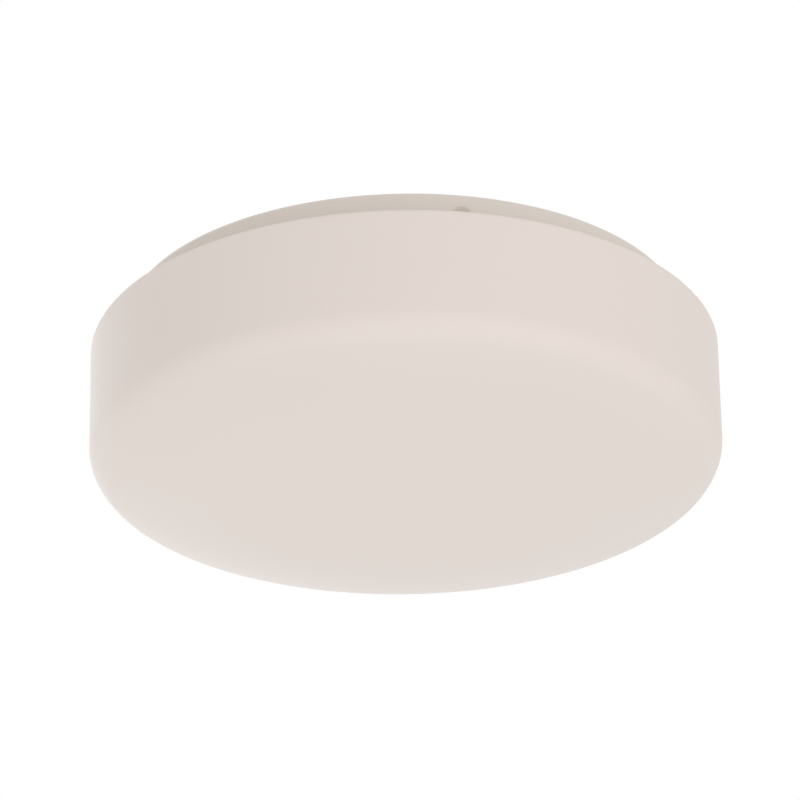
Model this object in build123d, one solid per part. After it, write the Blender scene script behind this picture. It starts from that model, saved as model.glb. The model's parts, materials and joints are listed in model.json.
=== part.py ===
from build123d import *
import math
import os

# A round LED ceiling light: an opal glass drum shade that twists onto a pressed steel pan.
# Millimetres. The origin is the pan's centre on the ceiling plane and +Z points up, so the lamp lies below zero.

# Base pan, pressed from steel sheet
pan_radius = 134.0
pan_depth = 16.4
pan_sheet = 1.0
pan_edge_round = 2.5
well_radius = 26.0
well_depth = 2.5
bead_inset = 21.0
bead_width = 6.0
bead_depth = 1.2

# Slots for the two ceiling screws
slot_spacing = 150.0
slot_length = 14.0
slot_width = 5.5

# Bayonet: dimples pressed into the pan's wall carry sloped lugs on the shade's neck
bayonet_count = 3
dimple_angle = -78.3
dimple_drop = 11.3
dimple_opening = 8.8
dimple_depth = 2.8
bayonet_gap = 0.6
bayonet_lead = 51.0
lug_seat_gap = 0.3
lug_tip = 1.2
stop_gap = 0.5
stop_width = 4.0
stop_reach = 0.8

# Opal glass shade
shade_overhang = 16.0
shade_height = 72.7
shoulder_gap = 0.8
glass_wall = 4.0
crown_flat = 88.0
crown_radius = 155.0
corner_round = 13.5
shoulder_round = 2.0
neck_root_round = 1.0
inner_round = 2.0

# Silicone seal between the neck's edge and the pan
seal_thickness = 2.0
seal_inset = 0.3

# Rubber bushes: the supply cable's in the pan and the LED leads' in the tray
cable_bore = 4.5
bush_wall = 3.4
bush_flange = 3.0
bush_flange_thickness = 1.5
bush_gap = 0.1

# Gear tray on hexagonal pillars
tray_gap = 11.0
tray_sheet = 0.8
tray_rim = 12.0
tray_bend = 1.6
gear_headroom = 3.0
pillar_count = 3
pillar_angle = 90.0
pillar_bead_gap = 2.0
pillar_flats = 8.0
pillar_spigot = 2.5
pillar_tap_depth = 12.0

# Screws: radii, head heights and the small clearances round and behind them
m4_radius = 2.0
m4_head_radius = 4.0
m4_head_height = 2.6
m3_radius = 1.5
m3_head_radius = 2.75
m3_head_height = 1.8
screw_gap = 0.1
through_gap = 0.25
tip_recess = 0.2
tray_screw_grip = 8.0
recess_width = 1.0
recess_depth = 1.1

# LED driver on top of the tray
driver_length = 110.0
driver_width = 36.0
driver_height = 20.0
driver_wall = 1.5
driver_round = 3.0
driver_setback = 5.5
driver_ear = 9.0
driver_ear_thickness = 2.5
lid_thickness = 1.5
lid_lip = 2.0
lid_gap = 0.15
lid_vent_count = 6
lid_vent_pitch = 8.0
lid_vent_width = 2.0
lid_vent_length = 20.0
driver_post = 4.0
driver_post_height = 3.0
circuit_thickness = 1.6
circuit_gap = 0.5
part_headroom = 1.0
transformer_length = 24.0
transformer_width = 20.0
transformer_offset = 8.0
bobbin_flange = 2.0
winding_inset = 1.5
capacitor_radius = 5.0
capacitor_offset = 30.0
capacitor_pitch = 13.0

# LED board under the tray
board_thickness = 1.5
pad_thickness = 0.5
pad_inset = 2.0
board_edge_gap = 12.0
led_ring_count = 3
led_inner_count = 6
led_ring_pitch = 22.0
led_edge_margin = 12.0
led_length = 3.5
led_width = 2.8
led_height = 0.7
board_screw_count = 6

# LED connector at the board's edge
connector_length = 10.0
connector_width = 9.0
connector_height = 5.0
connector_edge_gap = 3.0
connector_entry_depth = 5.0

# Terminal block under the pan, with brass barrels and clamp screws
block_length = 34.0
block_width = 22.0
block_base_height = 12.0
block_round = 1.5
block_setback = 6.5
tower_radius = 3.9
tower_height = 4.5
pole_count = 3
pole_pitch = 10.0
pole_row = 6.0
barrel_radius = 2.9
barrel_bore = 1.6
barrel_recess = 2.0
barrel_drop = 6.5
clamp_radius = 1.4
clamp_head_radius = 2.2
clamp_head_height = 2.0
clamp_recess = 1.0

# Earth point on the pan
earth_setoff = 28.0
tag_thickness = 0.8
tag_radius = 4.4
tag_neck = 3.4
tag_crimp_wall = 0.7
tag_crimp_length = 7.0
washer_thickness = 0.8
washer_radius = 4.8

# Leads
mains_lead_radius = 1.1
led_lead_radius = 0.8
lead_gap = 0.3
lead_grip = 5.0
mains_lead_pitch = 7.0
led_lead_pitch = 2.6
lead_bend = 0.45
led_lead_bend = 0.25
mains_leave = 17.0
mains_channel = 52.0
mains_channel_end = 14.0
mains_loop = 24.0
mains_loop_start = 26.0
mains_sag = 2.0
earth_leave = 10.0
led_turn = 14.0
led_turn_end = 24.0
led_spread = 2.0
led_crossing = 3.5

# Worked-out sizes
shade_radius = pan_radius + shade_overhang
pan_inside = pan_radius - pan_sheet
neck_outer = pan_inside - dimple_depth - bayonet_gap
neck_inner = neck_outer - glass_wall
lug_radius = pan_inside - bayonet_gap
neck_top = -pan_sheet - seal_thickness
shoulder = -pan_depth - shoulder_gap
shade_bottom = shoulder - shade_height
bead_radius = neck_inner - bead_inset
sheet_shift = pan_sheet * math.tan(math.radians(22.5))

dimple_mouth = dimple_opening / 2
dimple_outer_ball = (dimple_mouth**2 + dimple_depth**2) / (2 * dimple_depth)
dimple_inner_ball = dimple_outer_ball + pan_sheet
dimple_centre = pan_radius + dimple_outer_ball - dimple_depth

block_height = block_base_height + tower_height
tray_top = -pan_sheet - gear_headroom - max(driver_height, block_height)
tray_under = tray_top - tray_sheet
tray_radius = neck_inner - tray_gap
pillar_corner = pillar_flats / math.sqrt(3)
pillar_circle = bead_radius - bead_width / 2 - sheet_shift - pillar_corner - pillar_bead_gap
board_radius = pillar_circle - m4_head_radius - board_edge_gap
pad_under = tray_under - pad_thickness
board_under = pad_under - board_thickness
led_rings = [board_radius - led_edge_margin - led_ring_pitch * step for step in range(led_ring_count)]
board_screw_circle = led_rings[0] - led_ring_pitch / 2
connector_centre = board_radius - connector_edge_gap - connector_length / 2
connector_entry_height = board_under - connector_height / 2

driver_y = well_radius + well_depth + driver_setback + driver_width / 2
driver_case_top = tray_top + driver_height - lid_thickness
driver_entry_height = tray_top + driver_height / 2 + circuit_thickness
driver_screw_x = driver_length / 2 + driver_ear / 2
circuit_under = tray_top + driver_wall + driver_post_height
circuit_top = circuit_under + circuit_thickness
part_height = driver_case_top - lid_lip - part_headroom - circuit_top
block_y = -(well_radius + well_depth + block_setback + block_width / 2)
block_face = block_y - block_width / 2
barrel_height = -pan_sheet - barrel_drop
block_base_under = -pan_sheet - block_base_height
block_under = -pan_sheet - block_height
pole_x = [pole_pitch * (pole - (pole_count - 1) / 2) for pole in range(pole_count)]
fixing_x = [(first + second) / 2 for first, second in zip(pole_x, pole_x[1:])]
earth_x = block_length / 2 + earth_setoff
cable_bush_radius = cable_bore + bush_wall
lead_bush_bore = led_lead_pitch / 2 + led_lead_radius + lead_gap
lead_bush_radius = lead_bush_bore + bush_wall / 2
tag_crimp_radius = mains_lead_radius + screw_gap + tag_crimp_wall
tag_crimp_height = -pan_sheet - tag_crimp_radius


# Shared helpers

def disc(radius, low, high, x=0.0, y=0.0):
    """An upright cylinder between two heights."""
    return Pos(x, y, low) * Cylinder(radius, high - low, align=(Align.CENTER, Align.CENTER, Align.MIN))


def ring(outer, inner, low, high, x=0.0, y=0.0):
    """An upright tube between two heights."""
    return disc(outer, low, high, x, y) - disc(inner, low, high, x, y)


def block(length, width, low, high, x=0.0, y=0.0):
    """An upright box between two heights."""
    return Pos(x, y, low) * Box(length, width, high - low, align=(Align.CENTER, Align.CENTER, Align.MIN))


def around(count, radius, first_angle=0.0):
    """Places spaced evenly round the lamp's axis."""
    turns = [math.radians(first_angle + 360.0 * step / count) for step in range(count)]
    return [(radius * math.cos(turn), radius * math.sin(turn)) for turn in turns]


def rod(radius, start, end):
    """A round bar from one point to another."""
    axis = Vector(*end) - Vector(*start)
    return extrude(Plane(origin=start, z_dir=axis) * Circle(radius), amount=axis.length)


def turned(edges, roundings=()):
    """Turns a closed half outline, drawn as radius and height, about the lamp's axis."""
    outline = make_face(edges)
    for radius, height, rounding in roundings:
        corner = outline.vertices().sort_by_distance((radius, height, 0))[0]
        outline = fillet(corner, rounding)
    return revolve(Plane.XZ * outline, Axis.Z)


def lead(radius, points, bend=lead_bend):
    """A lead whose bends each take up a share of the shorter run beside them."""
    places = [Vector(*point) for point in points]
    runs = [second - first for first, second in zip(places, places[1:])]
    bends = []
    for before, after in zip(runs, runs[1:]):
        half_turn = math.radians(before.get_angle(after)) / 2
        bends.append(bend * min(before.length, after.length) / math.tan(half_turn))
    path = FilletPolyline(*places, radius=bends)
    return sweep(Plane(origin=path @ 0, z_dir=path % 0) * Circle(radius), path=path)


def pan_head(shank, head, head_height, tip, seat, x, y, upward=True):
    """A cross-recessed screw from its tip to its seat, with the head beyond the seat."""
    crown = seat - head_height if upward else seat + head_height
    solid = disc(shank, min(tip, seat), max(tip, seat), x, y)
    solid += disc(head, min(seat, crown), max(seat, crown), x, y)
    floor = crown + recess_depth if upward else crown - recess_depth
    low = min(crown, floor)
    high = max(crown, floor)
    for length, width in ((head, recess_width), (recess_width, head)):
        solid -= block(length, width, low, high, x, y)
    return solid


def bush(bore, waist, low, high, x=0.0, y=0.0):
    """A rubber bush in a sheet that lies between two heights."""
    flange = waist + bush_flange
    solid = disc(waist - bush_gap, low, high, x, y)
    solid += disc(flange, low - bush_flange_thickness, low, x, y)
    solid += disc(flange, high, high + bush_flange_thickness, x, y)
    return solid - disc(bore, low - bush_flange_thickness, high + bush_flange_thickness, x, y)


# Base pan

def make_base_pan():
    bead_out = bead_radius + bead_width / 2
    bead_in = bead_radius - bead_width / 2
    well_floor = well_radius - well_depth
    outline = Polyline(
        (cable_bush_radius, -well_depth),
        (well_floor, -well_depth),
        (well_radius, 0),
        (bead_in, 0),
        (bead_in + bead_depth, -bead_depth),
        (bead_out - bead_depth, -bead_depth),
        (bead_out, 0),
        (pan_radius, 0),
        (pan_radius, -pan_depth),
        (pan_inside, -pan_depth),
        (pan_inside, -pan_sheet),
        (bead_out + sheet_shift, -pan_sheet),
        (bead_out - bead_depth + sheet_shift, -bead_depth - pan_sheet),
        (bead_in + bead_depth - sheet_shift, -bead_depth - pan_sheet),
        (bead_in - sheet_shift, -pan_sheet),
        (well_radius + sheet_shift, -pan_sheet),
        (well_floor + sheet_shift, -well_depth - pan_sheet),
        (cable_bush_radius, -well_depth - pan_sheet),
        close=True,
    )
    inside_round = pan_edge_round - pan_sheet
    pan = turned(outline, [(pan_radius, 0, pan_edge_round), (pan_inside, -pan_sheet, inside_round)])

    wall_middle = disc(pan_radius - pan_sheet / 2, -pan_depth, 0)
    for x, y in around(bayonet_count, dimple_centre, dimple_angle):
        pan += Pos(x, y, -dimple_drop) * Sphere(dimple_inner_ball) & wall_middle
    for x, y in around(bayonet_count, dimple_centre, dimple_angle):
        pan -= Pos(x, y, -dimple_drop) * Sphere(dimple_outer_ball)

    slot = extrude(SlotOverall(slot_length, slot_width), amount=-pan_sheet)
    for x in (-slot_spacing / 2, slot_spacing / 2):
        pan -= Pos(x, 0, 0) * slot
    for x, y in around(pillar_count, pillar_circle, pillar_angle):
        pan -= disc(pillar_spigot + screw_gap, -pan_sheet, 0, x, y)
    for x in fixing_x:
        pan -= disc(m3_radius + screw_gap, -pan_sheet, 0, x, block_y)
    return pan - disc(m4_radius + screw_gap, -pan_sheet, 0, earth_x, block_y)


# Opal shade with its bayonet neck

def make_lugs():
    slope = bayonet_lead / (2 * math.pi * lug_radius)
    reach = dimple_centre - lug_radius
    dimple_half = math.sqrt(dimple_inner_ball**2 - reach**2)
    seat = -dimple_drop + dimple_half * math.hypot(1, slope) + lug_seat_gap
    stop_face = -dimple_half - stop_gap
    stop_end = stop_face - stop_width
    tip_end = (neck_top - lug_tip - seat) / slope
    middle = (stop_end + tip_end) / 2
    side = Polyline(
        (stop_end - middle, neck_top),
        (stop_end - middle, -dimple_drop - stop_reach),
        (stop_face - middle, -dimple_drop - stop_reach),
        (stop_face - middle, seat + slope * stop_face),
        (tip_end - middle, neck_top - lug_tip),
        (tip_end - middle, neck_top),
        close=True,
    )
    lug_band = ring(lug_radius, neck_outer - glass_wall / 2, -pan_depth, neck_top)
    lugs = []
    for x, y in around(bayonet_count, 1.0, dimple_angle + math.degrees(middle / lug_radius)):
        facing = Plane(origin=(0, 0, 0), x_dir=(-y, x, 0), z_dir=(x, y, 0))
        prism = extrude(facing.offset(neck_inner - glass_wall) * make_face(side), amount=lug_radius)
        lugs.append(prism & lug_band)
    return lugs


def crown_curve(radius, reach):
    """Half section of the underside's curve, from the edge of its flat middle out to a given reach."""
    swing = math.degrees(math.asin((reach - crown_flat) / radius))
    return CenterArc((crown_flat, shade_bottom + crown_radius), radius, -90, swing)


def make_opal_shade():
    cavity_radius = shade_radius - glass_wall
    cavity_top = shoulder - glass_wall
    outer_crown = crown_curve(crown_radius, shade_radius)
    inner_crown = crown_curve(crown_radius - glass_wall, cavity_radius)
    outline = Polyline(
        inner_crown @ 1,
        (cavity_radius, cavity_top),
        (neck_inner, cavity_top),
        (neck_inner, neck_top),
        (neck_outer, neck_top),
        (neck_outer, shoulder),
        (shade_radius, shoulder),
        outer_crown @ 1,
    )
    outline += outer_crown
    outline += Polyline(
        outer_crown @ 0,
        (0, shade_bottom),
        (0, shade_bottom + glass_wall),
        inner_crown @ 0,
    )
    outline += inner_crown
    roundings = [
        (neck_outer, shoulder, neck_root_round),
        (shade_radius, shoulder, shoulder_round),
        (shade_radius, (outer_crown @ 1).Y, corner_round),
        (neck_inner, cavity_top, inner_round),
        (cavity_radius, cavity_top, inner_round),
        (cavity_radius, (inner_crown @ 1).Y, corner_round - glass_wall),
    ]
    shade = turned(outline, roundings)
    for lug in make_lugs():
        shade += lug
    return shade


def make_shade_seal():
    return ring(neck_outer - seal_inset, neck_inner + seal_inset, neck_top, -pan_sheet)


# Gear tray and its pillars

def make_gear_tray():
    outline = Polyline(
        (0, tray_under),
        (tray_radius, tray_under),
        (tray_radius, tray_under + tray_rim),
        (tray_radius - tray_sheet, tray_under + tray_rim),
        (tray_radius - tray_sheet, tray_top),
        (0, tray_top),
        close=True,
    )
    bends = [
        (tray_radius, tray_under, tray_bend),
        (tray_radius - tray_sheet, tray_top, tray_bend - tray_sheet),
    ]
    tray = turned(outline, bends)
    for x, y in around(pillar_count, pillar_circle, pillar_angle):
        tray -= disc(m4_radius + through_gap, tray_under, tray_top, x, y)
    for x, y in around(board_screw_count, board_screw_circle):
        tray -= disc(m3_radius + screw_gap, tray_under, tray_top, x, y)
    for x in (-driver_screw_x, driver_screw_x):
        tray -= disc(m3_radius + screw_gap, tray_under, tray_top, x, driver_y)
    return tray - disc(lead_bush_radius, tray_under, tray_top, pillar_circle, 0)


def make_tray_pillars():
    hexagon = RegularPolygon(pillar_flats / 2, 6, major_radius=False)
    pillars = []
    for x, y in around(pillar_count, pillar_circle, pillar_angle):
        pillar = Pos(x, y, tray_top) * extrude(hexagon, amount=-pan_sheet - tray_top)
        pillar += disc(pillar_spigot, -pan_sheet, -tip_recess, x, y)
        pillars.append(pillar - disc(m4_radius + screw_gap, tray_top, tray_top + pillar_tap_depth, x, y))
    return pillars


def make_tray_screws():
    tip = tray_top + tray_screw_grip
    return [
        pan_head(m4_radius, m4_head_radius, m4_head_height, tip, tray_under, x, y)
        for x, y in around(pillar_count, pillar_circle, pillar_angle)
    ]


# LED driver

def make_driver_case():
    tub = extrude(
        Pos(0, driver_y, tray_top) * RectangleRounded(driver_length, driver_width, driver_round),
        amount=driver_case_top - tray_top,
    )
    for side in (-1, 1):
        ear = block(
            driver_ear + driver_round,
            driver_width / 2,
            tray_top,
            tray_top + driver_ear_thickness,
            side * (driver_length + driver_ear - driver_round) / 2,
            driver_y,
        )
        tub += ear
    inside_length = driver_length - 2 * driver_wall
    inside_width = driver_width - 2 * driver_wall
    tub -= extrude(
        Pos(0, driver_y, tray_top + driver_wall)
        * RectangleRounded(inside_length, inside_width, driver_round - driver_wall),
        amount=driver_height,
    )
    for x_side in (-1, 1):
        for y_side in (-1, 1):
            x = x_side * (inside_length - driver_post) / 2
            y = driver_y + y_side * (inside_width - driver_post) / 2
            tub += block(driver_post, driver_post, tray_top + driver_wall, circuit_under, x, y)
    for side in (-1, 1):
        ear_hole = m3_radius + through_gap
        ear_top = tray_top + driver_ear_thickness
        tub -= disc(ear_hole, tray_top, ear_top, side * driver_screw_x, driver_y)
        mains_y = driver_y + side * mains_lead_pitch / 2
        led_y = driver_y + side * led_lead_pitch
        end = driver_length / 2
        inner_end = end - driver_wall
        tub -= rod(
            mains_lead_radius + lead_gap,
            (-end, mains_y, driver_entry_height),
            (-inner_end, mains_y, driver_entry_height),
        )
        tub -= rod(
            led_lead_radius + lead_gap,
            (inner_end, led_y, driver_entry_height),
            (end, led_y, driver_entry_height),
        )
    return tub


def make_driver_lid():
    lid = extrude(
        Pos(0, driver_y, driver_case_top) * RectangleRounded(driver_length, driver_width, driver_round),
        amount=lid_thickness,
    )
    lip_outside = driver_wall + lid_gap
    lip_inside = lip_outside + driver_wall
    lip = RectangleRounded(
        driver_length - 2 * lip_outside,
        driver_width - 2 * lip_outside,
        driver_round - driver_wall,
    )
    lip -= Rectangle(driver_length - 2 * lip_inside, driver_width - 2 * lip_inside)
    lid += extrude(Pos(0, driver_y, driver_case_top) * lip, amount=-lid_lip)
    vent = extrude(SlotOverall(lid_vent_length, lid_vent_width, rotation=90), amount=lid_thickness)
    for step in range(lid_vent_count):
        x = lid_vent_pitch * (step - (lid_vent_count - 1) / 2)
        lid -= Pos(x, driver_y, driver_case_top) * vent
    return lid


def make_driver_board():
    edge = driver_wall + circuit_gap
    return block(
        driver_length - 2 * edge,
        driver_width - 2 * edge,
        circuit_under,
        circuit_top,
        0,
        driver_y,
    )


def make_driver_transformer():
    top = circuit_top + part_height
    x = -transformer_offset
    windings = block(
        transformer_length - 2 * winding_inset,
        transformer_width - 2 * winding_inset,
        circuit_top + bobbin_flange,
        top - bobbin_flange,
        x,
        driver_y,
    )
    lower = block(transformer_length, transformer_width, circuit_top, circuit_top + bobbin_flange, x, driver_y)
    upper = block(transformer_length, transformer_width, top - bobbin_flange, top, x, driver_y)
    return windings + lower + upper


def make_driver_capacitors():
    return [
        disc(capacitor_radius, circuit_top, circuit_top + part_height, capacitor_offset, driver_y + offset)
        for offset in (-capacitor_pitch / 2, capacitor_pitch / 2)
    ]


def make_driver_screws():
    seat = tray_top + driver_ear_thickness
    tip = tray_under + tip_recess
    return [
        pan_head(m3_radius, m3_head_radius, m3_head_height, tip, seat, x, driver_y, upward=False)
        for x in (-driver_screw_x, driver_screw_x)
    ]


# LED board, its chips and its fixing

def make_thermal_pad():
    pad = disc(board_radius - pad_inset, pad_under, tray_under)
    for x, y in around(board_screw_count, board_screw_circle):
        pad -= disc(m3_radius + through_gap, pad_under, tray_under, x, y)
    return pad


def make_led_board():
    board = disc(board_radius, board_under, pad_under)
    for x, y in around(board_screw_count, board_screw_circle):
        board -= disc(m3_radius + through_gap, board_under, pad_under, x, y)
    return board


def make_led_chips():
    chips = []
    for step, radius in enumerate(led_rings):
        count = led_inner_count * (led_ring_count - step)
        half_step = 180.0 / count
        for turn in range(count):
            chip = block(led_width, led_length, board_under - led_height, board_under, radius)
            chips.append(Rot(0, 0, half_step * (2 * turn + 1)) * chip)
    return chips


def make_board_screws():
    tip = tray_top - tip_recess
    return [
        pan_head(m3_radius, m3_head_radius, m3_head_height, tip, board_under, x, y)
        for x, y in around(board_screw_count, board_screw_circle)
    ]


def make_led_connector():
    low = board_under - connector_height
    body = block(connector_length, connector_width, low, board_under, connector_centre)
    mouth = connector_centre + connector_length / 2
    for side in (-1, 1):
        y = side * led_lead_pitch / 2
        body -= rod(
            led_lead_radius + lead_gap,
            (mouth - connector_entry_depth, y, connector_entry_height),
            (mouth, y, connector_entry_height),
        )
    return body


# Supply terminals

def make_terminal_block():
    base = extrude(
        Pos(0, block_y, block_base_under) * RectangleRounded(block_length, block_width, block_round),
        amount=block_base_height,
    )
    for x in pole_x:
        for row in (-pole_row, pole_row):
            base += disc(tower_radius, block_under, block_base_under, x, block_y + row)
    for x in pole_x:
        front = (x, block_face, barrel_height)
        back = (x, block_face + block_width, barrel_height)
        base -= rod(barrel_radius + screw_gap, front, back)
        for row in (-pole_row, pole_row):
            base -= disc(clamp_head_radius + screw_gap, block_under, barrel_height, x, block_y + row)
    for x in fixing_x:
        base -= disc(m3_radius + through_gap, block_base_under, -pan_sheet, x, block_y)
    return base


def make_terminal_barrels():
    barrels = []
    for x in pole_x:
        front = (x, block_face + barrel_recess, barrel_height)
        back = (x, block_face + block_width - barrel_recess, barrel_height)
        barrel = rod(barrel_radius, front, back) - rod(barrel_bore, front, back)
        for row in (-pole_row, pole_row):
            tap = clamp_radius + screw_gap
            barrel -= disc(tap, barrel_height - barrel_radius, barrel_height, x, block_y + row)
        barrels.append(barrel)
    return barrels


def make_terminal_clamps():
    tip = barrel_height - mains_lead_radius - screw_gap
    crown = block_under + clamp_recess
    seat = crown + clamp_head_height
    clamps = []
    for x in pole_x:
        for row in (-pole_row, pole_row):
            clamp = disc(clamp_radius, seat, tip, x, block_y + row)
            clamp += disc(clamp_head_radius, crown, seat, x, block_y + row)
            slot = block(2 * clamp_head_radius, recess_width, crown, crown + recess_depth, x, block_y + row)
            clamps.append(clamp - slot)
    return clamps


def make_terminal_fixings():
    return [
        pan_head(m3_radius, m3_head_radius, m3_head_height, -tip_recess, block_base_under, x, block_y)
        for x in fixing_x
    ]


# Earth point

def make_earth_tag():
    low = -pan_sheet - tag_thickness
    crimp_start = block_y - tag_radius - tag_neck
    tag = disc(tag_radius, low, -pan_sheet, earth_x, block_y)
    neck_length = tag_radius + tag_neck
    tag += block(2 * tag_crimp_radius, neck_length, low, -pan_sheet, earth_x, block_y - neck_length / 2)
    front = (earth_x, crimp_start - tag_crimp_length, tag_crimp_height)
    back = (earth_x, crimp_start, tag_crimp_height)
    tag += rod(tag_crimp_radius, front, back)
    tag -= rod(mains_lead_radius + screw_gap, front, back)
    return tag - disc(m4_radius + screw_gap, low, -pan_sheet, earth_x, block_y)


def make_earth_washer():
    high = -pan_sheet - tag_thickness
    return ring(washer_radius, m4_radius + screw_gap, high - washer_thickness, high, earth_x, block_y)


def make_earth_screw():
    seat = -pan_sheet - tag_thickness - washer_thickness
    return pan_head(m4_radius, m4_head_radius, m4_head_height, -tip_recess, seat, earth_x, block_y)


# Leads, each from its terminal to its far end

def make_mains_lead(pole, side, spread):
    start_y = block_face + barrel_recess + lead_grip
    leave_y = block_face - mains_leave - spread
    channel_x = -mains_channel - spread
    loop_x = -driver_length / 2 - mains_loop - spread
    end_y = driver_y + side * mains_lead_pitch / 2
    end_x = -driver_length / 2 + driver_wall + lead_gap
    return lead(
        mains_lead_radius,
        [
            (pole_x[pole], start_y, barrel_height),
            (pole_x[pole], leave_y, barrel_height),
            (channel_x, leave_y, barrel_height - mains_sag),
            (channel_x, mains_channel_end - spread / 2, driver_entry_height + mains_sag),
            (loop_x, mains_loop_start - spread / 2, driver_entry_height),
            (loop_x, end_y, driver_entry_height),
            (end_x, end_y, driver_entry_height),
        ],
    )


def make_earth_lead():
    start_y = block_face + barrel_recess + lead_grip
    crimp_end = block_y - tag_radius - tag_neck - tag_crimp_length
    leave_y = crimp_end - earth_leave
    return lead(
        mains_lead_radius,
        [
            (pole_x[-1], start_y, barrel_height),
            (pole_x[-1], leave_y, barrel_height),
            (earth_x, leave_y, tag_crimp_height),
            (earth_x, crimp_end + lead_grip, tag_crimp_height),
        ],
    )


def make_led_lead(side, level):
    start_x = driver_length / 2 - driver_wall - lead_gap
    start_y = driver_y - side * led_lead_pitch
    bush_y = side * led_lead_pitch / 2
    end_x = connector_centre + connector_length / 2 - connector_entry_depth + lead_gap
    return lead(
        led_lead_radius,
        [
            (start_x, start_y, driver_entry_height),
            (pillar_circle - led_turn - side * led_spread, start_y, driver_entry_height),
            (pillar_circle, led_turn_end - side * led_spread, level),
            (pillar_circle, bush_y, level),
            (pillar_circle, bush_y, connector_entry_height),
            (end_x, bush_y, connector_entry_height),
        ],
        led_lead_bend,
    )


pieces = {
    "base_pan": make_base_pan(),
    "opal_shade": make_opal_shade(),
    "shade_seal": make_shade_seal(),
    "cable_grommet": bush(cable_bore, cable_bush_radius, -well_depth - pan_sheet, -well_depth),
    "tray_pillars": make_tray_pillars(),
    "gear_tray": make_gear_tray(),
    "tray_screws": make_tray_screws(),
    "driver_case": make_driver_case(),
    "driver_lid": make_driver_lid(),
    "driver_board": make_driver_board(),
    "driver_transformer": make_driver_transformer(),
    "driver_capacitors": make_driver_capacitors(),
    "driver_screws": make_driver_screws(),
    "thermal_pad": make_thermal_pad(),
    "led_board": make_led_board(),
    "led_chips": make_led_chips(),
    "board_screws": make_board_screws(),
    "led_connector": make_led_connector(),
    "lead_bush": bush(lead_bush_bore, lead_bush_radius, tray_under, tray_top, pillar_circle),
    "terminal_block": make_terminal_block(),
    "terminal_barrels": make_terminal_barrels(),
    "terminal_clamps": make_terminal_clamps(),
    "terminal_fixings": make_terminal_fixings(),
    "earth_tag": make_earth_tag(),
    "earth_washer": make_earth_washer(),
    "earth_screw": make_earth_screw(),
    "live_lead": make_mains_lead(0, -1, 0.0),
    "neutral_lead": make_mains_lead(1, 1, mains_lead_pitch),
    "earth_lead": make_earth_lead(),
    "led_lead_positive": make_led_lead(1, driver_entry_height - led_crossing),
    "led_lead_negative": make_led_lead(-1, driver_entry_height),
}

os.makedirs("parts", exist_ok=True)
for name, piece in pieces.items():
    solids = piece if isinstance(piece, list) else [piece]
    shape = Compound(children=solids) if len(solids) > 1 else solids[0]
    export_step(shape, f"parts/{name}.step")
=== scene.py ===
"""Dresses a round LED ceiling light: its opal glass shade, enamelled pan and everything inside them."""

import json
import math
from functools import partial

import bpy
from bpy.props import FloatProperty, FloatVectorProperty, IntProperty, PointerProperty
from mathutils import Matrix, Vector


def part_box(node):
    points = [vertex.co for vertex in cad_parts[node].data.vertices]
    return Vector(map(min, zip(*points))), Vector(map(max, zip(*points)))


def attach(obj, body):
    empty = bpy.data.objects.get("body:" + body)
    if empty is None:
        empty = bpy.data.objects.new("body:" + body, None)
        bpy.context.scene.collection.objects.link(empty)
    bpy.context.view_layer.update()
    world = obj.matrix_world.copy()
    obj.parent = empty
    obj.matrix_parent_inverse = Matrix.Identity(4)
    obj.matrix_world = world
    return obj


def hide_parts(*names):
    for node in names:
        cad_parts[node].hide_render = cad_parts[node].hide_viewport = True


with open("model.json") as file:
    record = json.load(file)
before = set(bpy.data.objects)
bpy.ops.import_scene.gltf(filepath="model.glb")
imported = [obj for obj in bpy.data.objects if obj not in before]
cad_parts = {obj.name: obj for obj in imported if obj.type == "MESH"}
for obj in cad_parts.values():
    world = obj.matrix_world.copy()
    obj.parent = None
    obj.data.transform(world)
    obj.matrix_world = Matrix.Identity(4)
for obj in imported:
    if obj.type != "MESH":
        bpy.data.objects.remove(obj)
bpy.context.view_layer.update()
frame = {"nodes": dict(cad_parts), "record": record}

bl_info = {
    "name": "Opal ceiling light",
    "version": (1, 0, 0),
    "blender": (4, 5, 0),
    "location": "3D View > Sidebar > Ceiling light",
    "description": "Models and finishes a ceiling light round its engineering model",
    "category": "Object",
}

MM = 0.001
TURN = 2 * math.pi
GOLDEN_TURN = math.radians(137.5)
UP = Vector((0, 0, 1))
# Points that are nearer than this are one point
NEAR = 0.002 * MM
# From the shade's shoulder to the pan's rim, its lugs to the pan's outer face, its neck's faces to the seal
RIM_GAP = 0.8 * MM
LUG_GAP = 1.6 * MM
SEAL_GAP = 0.3 * MM


# Places read from the engineering model

def box_of(node):
    """The lowest and highest corner of an engineering piece, to a hundredth of a millimetre."""
    low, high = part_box(node)
    return Vector(round(c, 5) for c in low), Vector(round(c, 5) for c in high)


shade_low, shade_high = box_of("opal_shade")
pan_low, pan_high = box_of("base_pan")
seal_low, seal_high = box_of("shade_seal")
bush_high = box_of("cable_grommet")[1]
board_high = box_of("led_board")[1]


# Sizes and colours that a user would change

def length(label, text, value):
    """A length property, in metres."""
    return FloatProperty(name=label, description=text, default=value, unit="LENGTH", precision=4)


def angle(label, text, degrees):
    """An angle property, given in degrees."""
    return FloatProperty(name=label, description=text, default=math.radians(degrees), subtype="ANGLE")


def count(label, text, value):
    """A whole number property."""
    return IntProperty(name=label, description=text, default=value, min=1)


def colour(label, text, value):
    """A colour property, in linear light."""
    return FloatVectorProperty(name=label, description=text, default=value, subtype="COLOR", min=0, max=1)


def number(label, text, value):
    """A plain number property."""
    return FloatProperty(name=label, description=text, default=value, min=0)


def position(label, text, value):
    """A place property, in metres."""
    return FloatVectorProperty(name=label, description=text, default=value, unit="LENGTH")


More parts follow.
